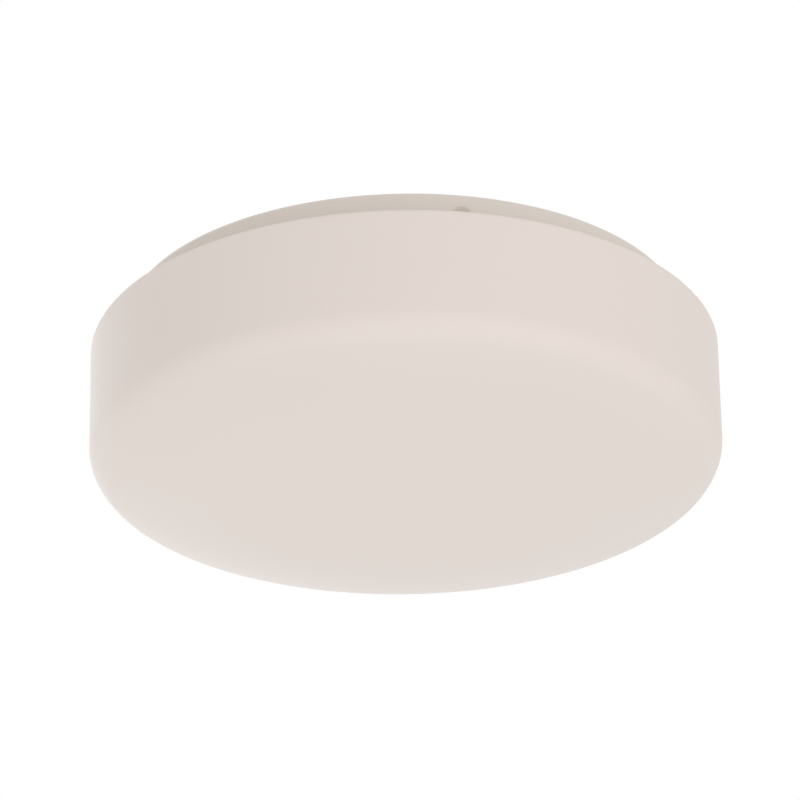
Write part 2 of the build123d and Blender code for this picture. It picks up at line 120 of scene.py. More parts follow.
class LightShadeSizes(bpy.types.PropertyGroup):
    """Sizes of the opal glass shade."""

    radius: length("Radius", "Outer radius of the drum", shade_high.x)
    bottom: length("Bottom", "Height of the underside's middle", shade_low.z)
    crown_flat: length("Flat", "Radius of the flat middle of the underside", 88.0 * MM)
    crown_radius: length("Crown", "Radius of the underside's curve outside its flat middle", 155.0 * MM)
    shoulder: length("Shoulder", "Height of the ledge under the pan's rim", pan_low.z - RIM_GAP)
    neck_radius: length("Neck radius", "Outer radius of the neck", seal_high.x + SEAL_GAP)
    neck_top: length("Neck top", "Height of the neck's upper edge", seal_low.z)
    wall: length("Glass", "Thickness of the glass", 4.0 * MM)
    corner: length("Lower corner", "Radius of the rounded lower corner", 13.5 * MM)
    shoulder_round: length("Upper corner", "Radius of the rounded shoulder edge", 2.0 * MM)
    root_round: length("Neck root", "Radius between shoulder and neck", 1.0 * MM)
    inner_round: length("Inner corners", "Radius of the inner upper corners", 2.0 * MM)
    lip_round: length("Neck lip", "Radius of the fire-polished neck edge", 0.8 * MM)
    lug_radius: length("Lug radius", "Outer radius of the bayonet lugs", pan_high.x - LUG_GAP)
    lug_seat: length("Lug seat", "Height of a lug's underside over its dimple", -6.416 * MM)
    lug_tip: length("Lug tip", "Thickness of a lug at its thin end", 1.2 * MM)
    lug_lead: length("Lead", "Rise of the lugs' slope in one full turn", 51.0 * MM)
    stop_start: length("Stop start", "Distance from the dimple's middle to the stop's face", 5.075 * MM)
    stop_width: length("Stop width", "Width of a lug's stop", 4.0 * MM)
    stop_low: length("Stop foot", "Height of a stop's lower end", -12.1 * MM)
    lug_round: length("Lug edges", "Radius of the lugs' edges", 0.25 * MM)
    segments: count("Segments", "Steps round the drum", 216)


class LightPanSizes(bpy.types.PropertyGroup):
    """Sizes of the pressed steel pan."""

    radius: length("Radius", "Outer radius of the pan", pan_high.x)
    depth: length("Depth", "Depth of the side wall", -pan_low.z)
    sheet: length("Sheet", "Thickness of the steel", 1.0 * MM)
    edge_round: length("Edge", "Radius between back and wall", 2.5 * MM)
    well_radius: length("Well radius", "Radius of the well round the cable hole", 26.0 * MM)
    well_depth: length("Well depth", "Depth of the well", 2.5 * MM)
    bead_radius: length("Bead radius", "Middle radius of the stiffening bead", 104.6 * MM)
    bead_width: length("Bead width", "Width of the stiffening bead", 6.0 * MM)
    bead_depth: length("Bead depth", "Depth of the stiffening bead", 1.2 * MM)
    press_round: length("Press radius", "Radius of the bends in the pressed sheet", 1.0 * MM)
    slot_spacing: length("Slot spacing", "Distance between the two ceiling screws", 150.0 * MM)
    slot_length: length("Slot length", "Length of a screw slot", 14.0 * MM)
    slot_width: length("Slot width", "Width of a screw slot", 5.5 * MM)
    dimple_turn: angle("Dimple angle", "Direction of the first bayonet dimple", -78.3)
    dimple_count: count("Dimples", "Bayonet dimples round the wall", 3)
    dimple_drop: length("Dimple drop", "Depth of the dimples under the back", 11.3 * MM)
    dimple_mouth: length("Dimple radius", "Radius of a dimple's mouth", 4.4 * MM)
    dimple_depth: length("Dimple depth", "How far a dimple is pressed in", 2.8 * MM)
    dimple_arc: angle("Dimple arc", "Half the finely divided arc round a dimple", 3.5)


class LightSmallSizes(bpy.types.PropertyGroup):
    """Sizes of the screws, bushes, light sources and leads."""

    m4_radius: length("M4 radius", "Outer radius of an M4 thread", 2.0 * MM)
    m4_pitch: length("M4 pitch", "Pitch of an M4 thread", 0.7 * MM)
    m4_head: length("M4 head", "Radius of an M4 pan head", 4.0 * MM)
    m4_head_height: length("M4 head height", "Height of an M4 pan head", 2.6 * MM)
    m3_radius: length("M3 radius", "Outer radius of an M3 thread", 1.5 * MM)
    m3_pitch: length("M3 pitch", "Pitch of an M3 thread", 0.5 * MM)
    m3_head: length("M3 head", "Radius of an M3 pan head", 2.75 * MM)
    m3_head_height: length("M3 head height", "Height of an M3 pan head", 1.8 * MM)
    recess_width: length("Recess width", "Width of a cross recess's arms", 1.0 * MM)
    recess_depth: length("Recess depth", "Depth of a cross recess", 1.1 * MM)
    bush_flange: length("Bush flange", "Width of a bush's flanges", 3.0 * MM)
    bush_lip: length("Bush lip", "Thickness of a bush's flanges", 1.5 * MM)
    cable_bore: length("Cable bore", "Radius of the supply cable's hole", 4.5 * MM)
    led_bore: length("LED lead bore", "Radius of the LED leads' hole", 2.4 * MM)
    pillar_count: count("Pillars", "Pillars that carry the tray", 3)
    pillar_flats: length("Pillar flats", "Width of a hexagonal pillar", 8.0 * MM)
    spigot_radius: length("Spigot radius", "Radius of a pillar's end in the pan", 2.5 * MM)
    board_screw_count: count("Board screws", "Screws round the LED board", 6)
    hole_gap: length("Hole gap", "Play of a pin or screw in its hole", 0.1 * MM)
    led_length: length("LED length", "Length of a light source", 3.5 * MM)
    led_width: length("LED width", "Width of a light source", 2.8 * MM)
    led_rings: count("LED rings", "Rings of light sources", 3)
    led_inner_count: count("LED count", "Light sources in the inner ring", 6)
    led_pitch: length("LED pitch", "Distance between the rings", 22.0 * MM)
    led_margin: length("LED margin", "Outer ring to the board's edge", 12.0 * MM)
    lead_radius: length("Lead radius", "Radius of a mains lead", 1.1 * MM)


class LightFinishColours(bpy.types.PropertyGroup):
    """Colours of the finishes."""

    opal_glass: colour("Opal glass", "Satin glass of the shade", (0.769, 0.690, 0.638))
    white_enamel: colour("White enamel", "Powder coat of the pan and tray", (0.692, 0.626, 0.565))
    clear_silicone: colour("Silicone", "Seal between glass and pan", (0.62, 0.62, 0.60))
    black_rubber: colour("Rubber", "Bushes in the pan and tray", (0.018, 0.018, 0.019))
    zinc_steel: colour("Zinc plate", "Screws and pillars", (0.56, 0.58, 0.60))
    brass: colour("Brass", "Terminal barrels and earth screw", (0.72, 0.50, 0.20))
    tinned_copper: colour("Tinned copper", "Earth tag", (0.62, 0.60, 0.56))
    white_plastic: colour("White plastic", "Driver case and lid", (0.74, 0.73, 0.70))
    natural_nylon: colour("Nylon", "Terminal block and connector", (0.70, 0.67, 0.56))
    circuit_green: colour("Circuit board", "Solder mask of the driver's board", (0.012, 0.085, 0.030))
    winding_tape: colour("Winding tape", "Tape round the transformer", (0.62, 0.36, 0.02))
    capacitor_sleeve: colour("Capacitor sleeve", "Shrunk sleeve of the capacitors", (0.012, 0.013, 0.016))
    thermal_silicone: colour("Thermal pad", "Pad behind the LED board", (0.26, 0.30, 0.36))
    board_white: colour("LED board", "White solder mask of the LED board", (0.80, 0.80, 0.77))
    led_phosphor: colour("Phosphor", "Phosphor resin of the light sources", (0.78, 0.52, 0.06))
    brown_pvc: colour("Brown PVC", "Live lead", (0.085, 0.030, 0.012))
    blue_pvc: colour("Blue PVC", "Neutral lead", (0.012, 0.075, 0.33))
    earth_pvc: colour("Green PVC", "Earth lead", (0.06, 0.26, 0.02))
    earth_stripe: colour("Yellow stripe", "Stripe of the earth lead", (0.80, 0.62, 0.02))
    red_pvc: colour("Red PVC", "Positive LED lead", (0.36, 0.008, 0.008))
    black_pvc: colour("Black PVC", "Negative LED lead", (0.012, 0.012, 0.012))


class LightStageSizes(bpy.types.PropertyGroup):
    """Places of the camera, lamps and floor."""

    view_angle: angle("View angle", "How far the camera looks up", 25.667)
    view_roll: angle("View roll", "How far the picture leans to the left", 0.856)
    view_distance: length("View distance", "Camera to the middle of the light", 2.1896)
    view_middle: position("View middle", "Point that the camera circles", (0, 0, -0.045))
    view_aim: position("View aim", "Point in the middle of the picture", (-0.002432, -0.001746, -0.041366))
    lens: number("Lens", "Focal length in millimetres", 206.65)
    floor_height: length("Floor", "Height of the floor under the ceiling", -2.5)
    floor_size: length("Floor size", "Side of the square floor", 5.0)
    floor_tone: colour("Floor colour", "Colour of the floor", (0.9, 0.9, 0.9))
    ambient: number("Ambient", "Even light from all round", 0.803)
    lamp_distance: length("Lamp distance", "Lamps to the middle of the light", 2.2)
    lamp_size: length("Lamp size", "Side of the square lamps", 2.0)


# Modelling by hand

def settle():
    """Leaves edit mode with nothing selected."""
    if bpy.context.object and bpy.context.object.mode != "OBJECT":
        bpy.ops.object.mode_set(mode="OBJECT")
    bpy.ops.object.select_all(action="DESELECT")


def focus(piece):
    """Makes a piece the only one that operators act on."""
    settle()
    piece.select_set(True)
    bpy.context.view_layer.objects.active = piece


def added(name):
    """Names the primitive that was just added and puts its place in its mesh."""
    piece = bpy.context.object
    piece.name = name
    piece.data.name = name
    bpy.ops.object.transform_apply(location=True, rotation=True, scale=True)
    return piece


def pick_points(piece, test):
    """Opens a piece with only the points selected whose place passes a test."""
    focus(piece)
    bpy.ops.object.mode_set(mode="EDIT")
    bpy.ops.mesh.select_mode(type="VERT")
    bpy.ops.mesh.select_all(action="DESELECT")
    bpy.ops.object.mode_set(mode="OBJECT")
    for point in piece.data.vertices:
        point.select = test(point.co)
    bpy.ops.object.mode_set(mode="EDIT")


def open_whole(piece):
    """Opens a piece with all of it selected."""
    focus(piece)
    bpy.ops.object.mode_set(mode="EDIT")
    bpy.ops.mesh.select_all(action="SELECT")


def close_up(piece):
    """Merges a piece's doubles and turns its faces outwards."""
    open_whole(piece)
    bpy.ops.mesh.remove_doubles(threshold=NEAR)
    bpy.ops.mesh.normals_make_consistent(inside=False)
    settle()


def arc(centre, radius, first, last, steps):
    """Points along an arc of a half section, from one angle to another in degrees."""
    points = []
    for step in range(steps + 1):
        turn = math.radians(first + (last - first) * step / steps)
        points.append((centre[0] + radius * math.cos(turn), centre[1] + radius * math.sin(turn)))
    return points


def rounded(corners, radius, steps=4):
    """An outline of radii and heights with all but its ends rounded."""
    places = [Vector(corner) for corner in corners]
    outline = [places[0]]
    for before, corner, after in zip(places, places[1:], places[2:]):
        back = (before - corner).normalized()
        ahead = (after - corner).normalized()
        half = back.angle(ahead) / 2
        middle = corner + (back + ahead).normalized() * radius / math.sin(half)
        first = corner + back * radius / math.tan(half) - middle
        last = corner + ahead * radius / math.tan(half) - middle
        outline += [middle + first.slerp(last, step / steps) * radius for step in range(steps + 1)]
    outline.append(places[-1])
    return outline


def rounded_loop(corners, radius, steps=4):
    """A closed outline with every corner rounded."""
    outline = rounded([corners[-1], *corners, corners[0]], radius, steps)[1:-1]
    return outline + outline[:1]


def draw_line(name, places):
    """A chain of points joined by edges, drawn one after another and left open with all of it selected."""
    settle()
    bpy.ops.mesh.primitive_plane_add(size=MM)
    piece = added(name)
    bpy.ops.object.mode_set(mode="EDIT")
    bpy.ops.mesh.select_mode(type="VERT")
    bpy.ops.mesh.select_all(action="SELECT")
    bpy.ops.mesh.merge(type="CENTER")
    bpy.ops.transform.translate(value=places[0])
    for before, after in zip(places, places[1:]):
        bpy.ops.mesh.extrude_vertices_move(TRANSFORM_OT_translate={"value": after - before})
    bpy.ops.mesh.select_all(action="SELECT")
    return piece


def spin_section(name, section, sectors, start=0.0, middle=(0, 0)):
    """Draws a half section of radii and heights, and spins it through one sector after another."""
    axis = Vector((*middle, 0))
    outwards = Vector((math.cos(start), math.sin(start), 0))
    piece = draw_line(name, [axis + outwards * r + UP * height for r, height in section])
    for sweep, steps in sectors:
        bpy.ops.mesh.spin(steps=steps, angle=-sweep, center=axis, axis=(0, 0, 1))
    close_up(piece)
    return piece


def apply_modifier(piece, kind, **values):
    """Adds a modifier with its values and applies it."""
    focus(piece)
    modifier = piece.modifiers.new(kind.lower(), kind)
    for name, value in values.items():
        setattr(modifier, name, value)
    bpy.ops.object.modifier_apply(modifier=modifier.name)


def carve(piece, cutter, operation="DIFFERENCE"):
    """Cuts, or joins, one closed mesh with another and removes the other."""
    apply_modifier(piece, "BOOLEAN", operation=operation, solver="EXACT", object=cutter)
    bpy.data.objects.remove(cutter, do_unlink=True)


def slice_off(piece, place, direction):
    """Cuts a piece with a plane, drops what lies beyond it and closes the cut."""
    open_whole(piece)
    bpy.ops.mesh.bisect(
        plane_co=place, plane_no=direction, use_fill=True, clear_outer=True, threshold=NEAR / 20
    )
    settle()


def joined(pieces, name):
    """Several pieces as one mesh."""
    settle()
    for piece in pieces:
        piece.select_set(True)
    bpy.context.view_layer.objects.active = pieces[0]
    if len(pieces) > 1:
        bpy.ops.object.join()
    pieces[0].name = name
    pieces[0].data.name = name
    return pieces[0]


def repeated(piece, spots):
    """Copies a piece to each place and turn, and joins the copies in one mesh under the piece's name."""
    name = piece.name
    copies = []
    for place, turn in spots:
        focus(piece)
        bpy.ops.object.duplicate()
        copy = bpy.context.object
        copy.location = place
        copy.rotation_euler.z = turn
        bpy.ops.object.transform_apply(location=True, rotation=True, scale=True)
        copies.append(copy)
    bpy.data.objects.remove(piece, do_unlink=True)
    return joined(copies, name)


def ring_spots(total, radius, first=0.0):
    """Places spaced evenly round the light's axis."""
    turns = [first + TURN * step / total for step in range(total)]
    return [Vector((radius * math.cos(turn), radius * math.sin(turn), 0)) for turn in turns]


def smooth(piece, degrees=35.0):
    """Shades a piece smooth, apart from edges sharper than an angle."""
    focus(piece)
    bpy.ops.object.shade_smooth_by_angle(angle=math.radians(degrees))


def dress(piece, body, slot, *nodes):
    """Gives a finished piece its finish and its body, and hides the engineering pieces that it stands for."""
    settle()
    piece.data.materials.clear()
    piece.data.materials.append(finish(slot))
    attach(piece, body)
    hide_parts(*nodes)


# Finishes

def node_at(tree, kind, **inputs):
    """Adds a node and sets its inputs by name, with spaces written as underscores."""
    node = tree.nodes.new(kind)
    for name, value in inputs.items():
        node.inputs[name.replace("_", " ")].default_value = value
    return node


def wire(tree, source, output, target, entry):
    """Links an output of one node to an input of another, each given by name or number."""
    tree.links.new(source.outputs[output], target.inputs[entry])


def grain_group():
    """A group that gives fine grain as a height, and a soft mottle as a mask."""
    name = "grain_and_mottle"
    if name in bpy.data.node_groups:
        return bpy.data.node_groups[name]
    tree = bpy.data.node_groups.new(name, "ShaderNodeTree")
    sockets = tree.interface
    sockets.new_socket("Vector", in_out="INPUT", socket_type="NodeSocketVector")
    for label, way in (("Grain", "INPUT"), ("Mottle", "INPUT"), ("Height", "OUTPUT"), ("Mask", "OUTPUT")):
        sockets.new_socket(label, in_out=way, socket_type="NodeSocketFloat")
    inside = node_at(tree, "NodeGroupInput")
    outside = node_at(tree, "NodeGroupOutput")
    fine = node_at(tree, "ShaderNodeTexNoise", Detail=2.0, Roughness=0.55)
    soft = node_at(tree, "ShaderNodeTexNoise", Detail=3.0, Roughness=0.6)
    for texture, size, output in ((fine, "Grain", "Height"), (soft, "Mottle", "Mask")):
        wire(tree, inside, "Vector", texture, "Vector")
        wire(tree, inside, size, texture, "Scale")
        wire(tree, texture, "Fac", outside, output)
    return tree


def start_finish(name):
    """A new finish with its tree and its shader."""
    material = bpy.data.materials.new(name)
    material.use_nodes = True
    tree = material.node_tree
    return material, tree, tree.nodes["Principled BSDF"]


def tint_by_mask(tree, source, output, first, second):
    """Lets a finish go from one colour to another with a node's mask."""
    blend = node_at(tree, "ShaderNodeMix")
    blend.data_type = "RGBA"
    blend.inputs["A"].default_value = (*first, 1)
    blend.inputs["B"].default_value = (*second, 1)
    wire(tree, source, output, blend, "Factor")
    wire(tree, blend, "Result", tree.nodes["Principled BSDF"], "Base Color")


def raise_by_mask(tree, source, output, strength, height):
    """Raises a finish where a node's mask is light."""
    relief = node_at(tree, "ShaderNodeBump", Strength=strength, Distance=height)
    wire(tree, source, output, relief, "Height")
    wire(tree, relief, "Normal", tree.nodes["Principled BSDF"], "Normal")


def plain_finish(name, tone, drift, roughness, spread, grain, mottle, bump, metallic=0.0, stretch=(1, 1, 1)):
    """A finish with a drift of colour and gloss over its surface, and a fine grain in it."""
    material, tree, shader = start_finish(name)
    shader.inputs["Metallic"].default_value = metallic
    place = node_at(tree, "ShaderNodeTexCoord")
    scaling = node_at(tree, "ShaderNodeMapping", Scale=stretch)
    group = node_at(tree, "ShaderNodeGroup")
    group.node_tree = grain_group()
    group.inputs["Grain"].default_value = grain
    group.inputs["Mottle"].default_value = mottle
    wire(tree, place, "Object", scaling, "Vector")
    wire(tree, scaling, "Vector", group, "Vector")

    darker = [c * (1 - drift) for c in tone]
    lighter = [min(1.0, c * (1 + drift)) for c in tone]
    tint_by_mask(tree, group, "Mask", darker, lighter)
    gloss = node_at(tree, "ShaderNodeMapRange", To_Min=roughness - spread, To_Max=roughness + spread)
    wire(tree, group, "Mask", gloss, "Value")
    wire(tree, gloss, "Result", shader, "Roughness")
    raise_by_mask(tree, group, "Height", strength=bump, height=0.1 * MM)
    return material


def opal_glass(tone):
    """Satin opal glass, etched to a soft sheen."""
    return plain_finish(
        "satin_opal_glass", tone, drift=0.008, roughness=0.60, spread=0.04, grain=2600, mottle=14, bump=0.05
    )


def white_enamel(tone):
    """White powder coat with a faint orange peel."""
    return plain_finish(
        "white_powder_coat", tone, drift=0.010, roughness=0.34, spread=0.05, grain=620, mottle=30, bump=0.10
    )


def clear_silicone(tone):
    """Milky silicone, dull and slightly dusty."""
    return plain_finish(
        "milky_silicone", tone, drift=0.03, roughness=0.52, spread=0.08, grain=1800, mottle=90, bump=0.06
    )


def black_rubber(tone):
    """Black rubber with a bloom in patches."""
    return plain_finish(
        "moulded_rubber", tone, drift=0.25, roughness=0.60, spread=0.10, grain=1400, mottle=160, bump=0.20
    )


def zinc_steel(tone):
    """Bright zinc plate, faintly cloudy."""
    return plain_finish(
        "bright_zinc_plate", tone, drift=0.08, roughness=0.34, spread=0.10, grain=2200, mottle=420, bump=0.10,
        metallic=1.0,
    )


def brass(tone):
    """Brass turned across its length, with fine tool marks."""
    return plain_finish(
        "turned_brass", tone, drift=0.10, roughness=0.30, spread=0.08, grain=1600, mottle=120, bump=0.12,
        metallic=1.0, stretch=(0.15, 3.0, 0.15),
    )


def tinned_copper(tone):
    """Rolled copper strip with a dull tin coat."""
    return plain_finish(
        "tinned_strip", tone, drift=0.07, roughness=0.38, spread=0.08, grain=1200, mottle=260, bump=0.10,
        metallic=1.0, stretch=(2.0, 0.1, 1.0),
    )


def white_plastic(tone):
    """White moulded plastic with a spark-eroded grain."""
    return plain_finish(
        "grained_white_plastic", tone, drift=0.015, roughness=0.50, spread=0.06, grain=1500, mottle=60,
        bump=0.30,
    )


def natural_nylon(tone):
    """Uncoloured nylon, waxy and slightly uneven."""
    return plain_finish(
        "waxy_nylon", tone, drift=0.035, roughness=0.42, spread=0.06, grain=900, mottle=110, bump=0.08
    )


def circuit_green(tone):
    """Green solder mask over the weave of a laminate."""
    return plain_finish(
        "green_laminate", tone, drift=0.18, roughness=0.30, spread=0.06, grain=800, mottle=240, bump=0.10
    )


def winding_tape(tone):
    """Yellow polyester tape, wrapped flat."""
    return plain_finish(
        "wrapped_tape", tone, drift=0.10, roughness=0.28, spread=0.08, grain=300, mottle=70, bump=0.15,
        stretch=(0.2, 0.2, 2.0),
    )


def capacitor_sleeve(tone):
    """Glossy shrunk sleeve."""
    return plain_finish(
        "shrunk_sleeve", tone, drift=0.20, roughness=0.24, spread=0.06, grain=700, mottle=90, bump=0.06
    )


def thermal_silicone(tone):
    """Grey filled silicone with a chalky face."""
    return plain_finish(
        "filled_silicone", tone, drift=0.08, roughness=0.72, spread=0.08, grain=2400, mottle=180, bump=0.25
    )


def led_phosphor(tone):
    """Phosphor in clear resin."""
    return plain_finish(
        "phosphor_resin", tone, drift=0.10, roughness=0.20, spread=0.05, grain=3600, mottle=900, bump=0.08
    )


def pvc(name, tone):
    """Extruded insulation of a lead, with faint draw lines."""
    return plain_finish(
        name, tone, drift=0.10, roughness=0.34, spread=0.07, grain=1100, mottle=150, bump=0.08
    )


def earth_pvc(tone):
    """Green lead insulation with two yellow stripes along it."""
    material = pvc("green_and_yellow_insulation", tone)
    tree = material.node_tree
    place = node_at(tree, "ShaderNodeUVMap")
    parts = node_at(tree, "ShaderNodeSeparateXYZ")
    stripes = node_at(tree, "ShaderNodeMath")
    stripes.operation = "PINGPONG"
    quarter_turn = 0.25
    stripes.inputs[1].default_value = quarter_turn
    edge = node_at(tree, "ShaderNodeMapRange", From_Min=0.115, From_Max=0.125)
    wire(tree, place, "UV", parts, "Vector")
    wire(tree, parts, "Y", stripes, 0)
    wire(tree, stripes, 0, edge, "Value")
    tint_by_mask(tree, edge, "Result", tone, bpy.context.scene.light_finish.earth_stripe)
    return material


def board_white(tone):
    """White solder mask over copper rings, which show as faint ridges."""
    material = plain_finish(
        "white_solder_mask", tone, drift=0.012, roughness=0.36, spread=0.05, grain=1300, mottle=80, bump=0.05
    )
    tree = material.node_tree
    size = bpy.context.scene.light_small
    waves_per_unit = 20.0
    outer_ring = board_high.x - size.led_margin
    place = node_at(tree, "ShaderNodeTexCoord")
    rings = node_at(
        tree,
        "ShaderNodeTexWave",
        Scale=TURN / (waves_per_unit * size.led_pitch),
        Phase_Offset=math.pi - (TURN * outer_ring / size.led_pitch) % TURN,
    )
    rings.wave_type = "RINGS"
    rings.rings_direction = "Z"
    track = node_at(tree, "ShaderNodeMapRange", From_Min=0.90, From_Max=0.94)
    wire(tree, place, "Object", rings, "Vector")
    wire(tree, rings, "Fac", track, "Value")
    copper_shares = (0.97, 0.93, 0.86)
    over_copper = [c * share for c, share in zip(tone, copper_shares)]
    tint_by_mask(tree, track, "Result", tone, over_copper)
    raise_by_mask(tree, track, "Result", strength=0.5, height=0.05 * MM)
    return material


FINISH_MAKERS = {
    maker.__name__: maker
    for maker in (
        opal_glass, white_enamel, clear_silicone, black_rubber, zinc_steel, brass, tinned_copper,
        white_plastic, natural_nylon, circuit_green, winding_tape, capacitor_sleeve, thermal_silicone,
        board_white, led_phosphor, earth_pvc,
    )
}
for hue in ("brown", "blue", "red", "black"):
    FINISH_MAKERS[f"{hue}_pvc"] = partial(pvc, f"{hue}_insulation")
made_finishes = {}


def finish(slot):
    """The finish of a slot, made on first use."""
    if slot not in made_finishes:
        tone = getattr(bpy.context.scene.light_finish, slot)
        made_finishes[slot] = FINISH_MAKERS[slot](tone)
    return made_finishes[slot]


def finish_carried_pieces():
    """Gives every engineering piece the finish of its slot."""
    for part in frame["record"]["subparts"]:
        mesh = frame["nodes"][part["node"]].data
        mesh.materials[0] = finish(part["material_slot"])


# The opal shade

def shade_section(size):
    """Half section of the glass, from the middle of the underside round the outside and back inside."""
    ceiling = size.shoulder - size.wall
    inner = size.radius - size.wall
    neck_inner = size.neck_radius - size.wall
    lip = size.lip_round
    small = size.inner_round
    shelf = size.shoulder_round
    root = size.root_round
    support = 1.0 * MM

    crown_centre = (size.crown_flat, size.bottom + size.crown_radius)
    corner_reach = size.radius - size.corner - size.crown_flat
    corner_drop = math.sqrt((size.crown_radius - size.corner) ** 2 - corner_reach**2)
    corner_centre = (size.radius - size.corner, crown_centre[1] - corner_drop)
    tilt = math.degrees(math.atan2(corner_reach, corner_drop))
    shares = (0.0, 0.35, 0.7)

    section = [(size.crown_flat * share, size.bottom) for share in shares]
    section += arc(crown_centre, size.crown_radius, -90, -90 + tilt, 8)[:-1]
    section += arc(corner_centre, size.corner, -90 + tilt, 0, 16)
    section.append((size.radius, corner_centre[1] + support))
    section.append((size.radius, size.shoulder - shelf - support))
    section += arc((size.radius - shelf, size.shoulder - shelf), shelf, 0, 90, 8)
    section.append((size.radius - shelf - support, size.shoulder))
    section.append((size.neck_radius + root + support, size.shoulder))
    section += arc((size.neck_radius + root, size.shoulder + root), root, 270, 180, 5)
    section += arc((size.neck_radius - lip, size.neck_top - lip), lip, 0, 90, 4)
    section += arc((neck_inner + lip, size.neck_top - lip), lip, 90, 180, 4)
    section += arc((neck_inner + small, ceiling + small), small, 180, 270, 5)
    section += arc((inner - small, ceiling - small), small, 90, 0, 5)
    section += arc(corner_centre, size.corner - size.wall, 0, -90 + tilt, 10)
    section += arc(crown_centre, size.crown_radius - size.wall, -90 + tilt, -90, 6)[1:]
    section += [(size.crown_flat * share, size.bottom + size.wall) for share in reversed(shares)]
    return section


def lug_block(size, start, sweep, inset=0.0):
    """A block on the neck's outside, from the stop's foot up to the neck's edge, closed at both ends."""
    inner = size.neck_radius - size.wall / 2
    outer = size.lug_radius - inset
    low = size.stop_low
    top = size.neck_top - size.lip_round / 2 - inset
    corners = [(inner, low), (outer, low), (outer, top), (inner, top), (inner, low)]
    block = spin_section("lug", corners, [(sweep, 8)], start)
    open_whole(block)
    bpy.ops.mesh.fill_holes(sides=4)
    close_up(block)
    return block


def ease_edges(piece, radius):
    """Rounds a piece's sharp edges."""
    sharp = math.radians(40)
    apply_modifier(piece, "BEVEL", width=radius, segments=2, limit_method="ANGLE", angle_limit=sharp)


def make_lug(size, dimple_turn):
    """One bayonet lug: a slope that rides down on its dimple, with a stop at its thick end."""
    slope = size.lug_lead / (TURN * size.lug_radius)
    tip_end = (size.neck_top - size.lug_tip - size.lug_seat) / slope / size.lug_radius
    stop_end = -(size.stop_start + size.stop_width) / size.lug_radius
    stop_sweep = size.stop_width / size.lug_radius
    ramp_start = stop_end + stop_sweep / 2
    ramp = lug_block(size, dimple_turn + ramp_start, tip_end - ramp_start, inset=0.05 * MM)
    middle = dimple_turn + tip_end / 2
    along = Vector((-math.sin(middle), math.cos(middle), 0))
    outwards = Vector((math.cos(middle), math.sin(middle), 0))
    seat = outwards * size.lug_radius + UP * (size.lug_seat + slope * size.lug_radius * tip_end / 2)
    slice_off(ramp, seat, along * slope - UP)
    close_up(ramp)
    stop = lug_block(size, dimple_turn + stop_end, stop_sweep)
    ease_edges(ramp, size.lug_round)
    ease_edges(stop, size.lug_round)
    carve(stop, ramp, "UNION")
    return stop


def dimple_turns(pan):
    """Directions of the bayonet dimples."""
    return [pan.dimple_turn + TURN * step / pan.dimple_count for step in range(pan.dimple_count)]


def build_shade():
    """The glass drum with its neck and bayonet lugs."""
    size = bpy.context.scene.light_shade
    pan = bpy.context.scene.light_pan
    shade = spin_section("shade", shade_section(size), [(TURN, size.segments)])
    lugs = joined([make_lug(size, turn) for turn in dimple_turns(pan)], "lugs")
    carve(shade, lugs, "UNION")
    smooth(shade)
    dress(shade, "shade", "opal_glass", "opal_shade")


# The pressed pan

def pan_section(size):
    """Half section of the pan's outer face, from the cable hole over the back and down the wall."""
    hole = bush_high.x - bpy.context.scene.light_small.bush_flange
    well_floor = size.well_radius - size.well_depth
    bead_in = size.bead_radius - size.bead_width / 2
    bead_out = size.bead_radius + size.bead_width / 2
    edge = size.edge_round
    margin = 1.0 * MM
    back = [
        (hole, -size.well_depth),
        (well_floor, -size.well_depth),
        (size.well_radius, 0),
        (bead_in, 0),
        (bead_in + size.bead_depth, -size.bead_depth),
        (bead_out - size.bead_depth, -size.bead_depth),
        (bead_out, 0),
        (size.radius - edge - margin, 0),
    ]
    section = rounded(back, size.press_round)
    section += arc((size.radius - edge, -edge), edge, 90, 0, 8)
    rows = 26
    rise = size.depth - edge
    section += [(size.radius, -edge - rise * row / rows) for row in range(1, rows + 1)]
    return section


def press_dimple(pan, size, turn):
    """Presses one bayonet dimple into the pan's wall and eases its rim."""
    inward = -Vector((math.cos(turn), math.sin(turn), 0))
    place = -inward * size.radius - UP * size.dimple_drop
    nearest = min(pan.data.vertices, key=lambda point: (point.co - place).length)
    middle = nearest.co.copy()
    pick_points(pan, lambda co: (co - middle).length < NEAR)
    bpy.ops.transform.translate(
        value=inward * size.dimple_depth,
        use_proportional_edit=True,
        proportional_edit_falloff="SPHERE",
        proportional_size=size.dimple_mouth,
    )
    across = inward.cross(UP)
    rim_inside = 0.75 * size.dimple_mouth
    rim_outside = 1.3 * size.dimple_mouth
    reach = 8 * MM

    def near_rim(co):
        away = math.hypot((co - place).dot(across), co.z - place.z)
        over_edge = co.z > size.sheet - size.depth
        return rim_inside < away < rim_outside and (co - place).length < reach and over_edge

    pick_points(pan, near_rim)
    bpy.ops.mesh.vertices_smooth(factor=0.5, repeat=3)
    settle()


def hole_cutter(place, radius, reach=0.0):
    """An upright cutter for a round hole, or for a slot that reaches along X."""
    settle()
    bpy.ops.mesh.primitive_cylinder_add(vertices=48, radius=radius, depth=10 * MM, location=place)
    cutter = added("cutter")
    for side in (-1, 1):
        pick_points(cutter, lambda co: (co.x - place[0]) * side > NEAR)
        bpy.ops.transform.translate(value=(side * reach / 2, 0, 0))
    settle()
    return cutter


